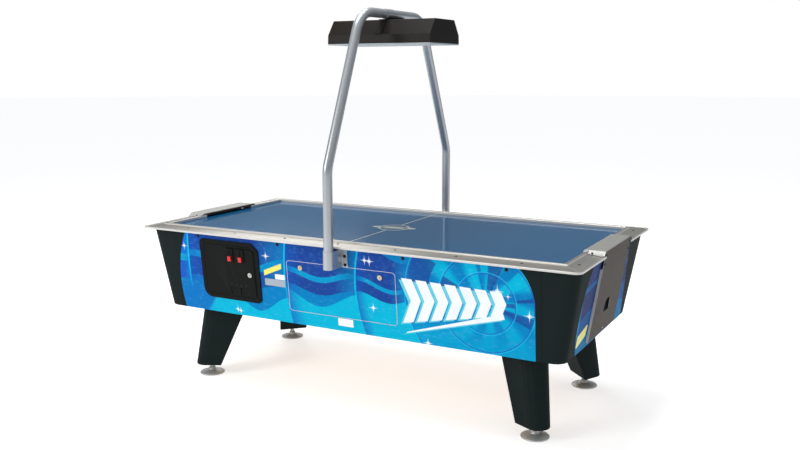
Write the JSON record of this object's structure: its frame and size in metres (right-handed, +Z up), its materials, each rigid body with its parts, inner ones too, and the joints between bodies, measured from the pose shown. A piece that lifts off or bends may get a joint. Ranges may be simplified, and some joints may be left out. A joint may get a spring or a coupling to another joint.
{
  "type": "air hockey table",
  "caption": "Coin-operated air hockey table with a blown playfield, aluminium rails, goals at both ends, coin and service doors, levelling feet and a pole-hung light.",
  "frame": {"origin": "on the floor, under the centre of the table", "axes": "+X along the table's length, -Y to the side with the coin door, +Z up"},
  "size_m": [2.44, 1.3514, 1.9913],
  "materials": {
    "artwork": "painted board with a printed skin",
    "textured_black": "fine black texture coat",
    "board": "bare board",
    "playfield_blue": "glossy laminate",
    "aluminium": "satin",
    "stainless": "brushed",
    "galvanised": "galvanised",
    "zinc": "zinc plated",
    "door_black": "satin black",
    "mech_black": "satin",
    "red_plastic": "gloss",
    "chrome": "polished",
    "motor_grey": "satin",
    "pole_grey": "silver-grey powder coat",
    "hood_black": "gloss",
    "diffuser_white": "translucent white",
    "lamp_white": "white lamp glass"
  },
  "bodies": {
    "table": {"cabinet_side_front": "artwork", "cabinet_side_rear": "artwork", "cabinet_end_left": "artwork", "cabinet_end_right": "artwork", "cabinet_corner_left_front": "textured_black", "cabinet_corner_left_rear": "textured_black", "cabinet_corner_right_front": "textured_black", "cabinet_corner_right_rear": "textured_black", "leg_left_front": "textured_black", "leg_left_rear": "textured_black", "leg_right_front": "textured_black", "leg_right_rear": "textured_black", "cabinet_floor": "board", "plenum_tray": "board", "playfield": "playfield_blue", "rail_front": "aluminium", "rail_rear": "aluminium", "rail_end_left_front": "aluminium", "rail_end_left_rear": "aluminium", "rail_end_right_front": "aluminium", "rail_end_right_rear": "aluminium", "goal_cover_left": "stainless", "goal_cover_right": "stainless", "puck_return_panel_left": "stainless", "puck_return_panel_right": "stainless", "puck_chute_left": "galvanised", "puck_chute_right": "galvanised", "cash_box": "galvanised", "blower_housing": "galvanised", "control_box": "galvanised", "coin_door_frame": "door_black", "blower_motor": "motor_grey", "power_inlet": "motor_grey", "pole_front": "pole_grey", "pole_rear": "pole_grey", "pole_clamp_front": "pole_grey", "pole_clamp_rear": "pole_grey", "light_hood": "hood_black", "light_hanger": "hood_black", "light_diffuser": "diffuser_white", "lamp_tube_front": "lamp_white", "lamp_tube_rear": "lamp_white"},
    "coin_door": {"coin_door": "door_black", "coin_mech": "mech_black"},
    "coin_door_lock": {"coin_door_lock": "chrome"},
    "reject_button_left": {"coin_reject_button_left": "red_plastic"},
    "reject_button_right": {"coin_reject_button_right": "red_plastic"},
    "return_flap_left": {"coin_return_flap_left": "door_black"},
    "return_flap_right": {"coin_return_flap_right": "door_black"},
    "service_door": {"service_door": "artwork"},
    "service_lock_left": {"service_door_lock_left": "chrome"},
    "service_lock_right": {"service_door_lock_right": "chrome"},
    "impeller": {"blower_impeller": "motor_grey"},
    "switch": {"power_switch": "door_black"},
    "leveler_left_front": {"leveler_left_front": "zinc"},
    "leveler_left_rear": {"leveler_left_rear": "zinc"},
    "leveler_right_front": {"leveler_right_front": "zinc"},
    "leveler_right_rear": {"leveler_right_rear": "zinc"}
  },
  "joints": [
    {"name": "coin_door_hinge", "type": "hinge", "parent": "table", "child": "coin_door", "pos_m": [-0.8366, -0.55631, 0.64806], "axis": [0, 0.1043, -0.9945], "range_deg": [0, 100]},
    {"name": "coin_door_lock_turn", "type": "hinge", "parent": "coin_door", "child": "coin_door_lock", "pos_m": [-0.541, -0.54961, 0.64173], "axis": [0, 0.9945, 0.1043], "range_deg": [0, 90]},
    {"name": "reject_button_left_push", "type": "slide", "parent": "coin_door", "child": "reject_button_left", "axis": [0, 0.9945, 0.1043], "range_m": [0, 0.004], "stiffness_N_per_m": 150},
    {"name": "reject_button_right_push", "type": "slide", "parent": "coin_door", "child": "reject_button_right", "axis": [0, 0.9945, 0.1043], "range_m": [0, 0.004], "stiffness_N_per_m": 150},
    {"name": "return_flap_left_swing", "type": "hinge", "parent": "coin_door", "child": "return_flap_left", "pos_m": [-0.65, -0.54703, 0.56156], "axis": [1, 0, 0], "range_deg": [0, 35]},
    {"name": "return_flap_right_swing", "type": "hinge", "parent": "coin_door", "child": "return_flap_right", "pos_m": [-0.588, -0.54703, 0.56156], "axis": [1, 0, 0], "range_deg": [0, 35]},
    {"name": "service_door_hinge", "type": "hinge", "parent": "table", "child": "service_door", "pos_m": [0, -0.53245, 0.48004], "axis": [1, 0, 0], "range_deg": [0, 100]},
    {"name": "service_lock_left_turn", "type": "hinge", "parent": "service_door", "child": "service_lock_left", "pos_m": [-0.228, -0.55705, 0.71264], "axis": [0, -0.9945, -0.1043], "range_deg": [0, 90]},
    {"name": "service_lock_right_turn", "type": "hinge", "parent": "service_door", "child": "service_lock_right", "pos_m": [0.228, -0.55705, 0.71264], "axis": [0, -0.9945, -0.1043], "range_deg": [0, 90]},
    {"name": "impeller_spin", "type": "hinge", "parent": "table", "child": "impeller", "pos_m": [0, 0.05, 0.59], "axis": [0, 1, 0], "continuous": true},
    {"name": "switch_rock", "type": "hinge", "parent": "table", "child": "switch", "pos_m": [0.661, 0.53127, 0.505], "axis": [1, 0, 0], "range_deg": [0, 12]},
    {"name": "leveler_left_front_screw", "type": "slide", "parent": "table", "child": "leveler_left_front", "axis": [0, 0, -1], "range_m": [0, 0.02]},
    {"name": "leveler_left_rear_screw", "type": "slide", "parent": "table", "child": "leveler_left_rear", "axis": [0, 0, -1], "range_m": [0, 0.02]},
    {"name": "leveler_right_front_screw", "type": "slide", "parent": "table", "child": "leveler_right_front", "axis": [0, 0, -1], "range_m": [0, 0.02]},
    {"name": "leveler_right_rear_screw", "type": "slide", "parent": "table", "child": "leveler_right_rear", "axis": [0, 0, -1], "range_m": [0, 0.02]}
  ]
}
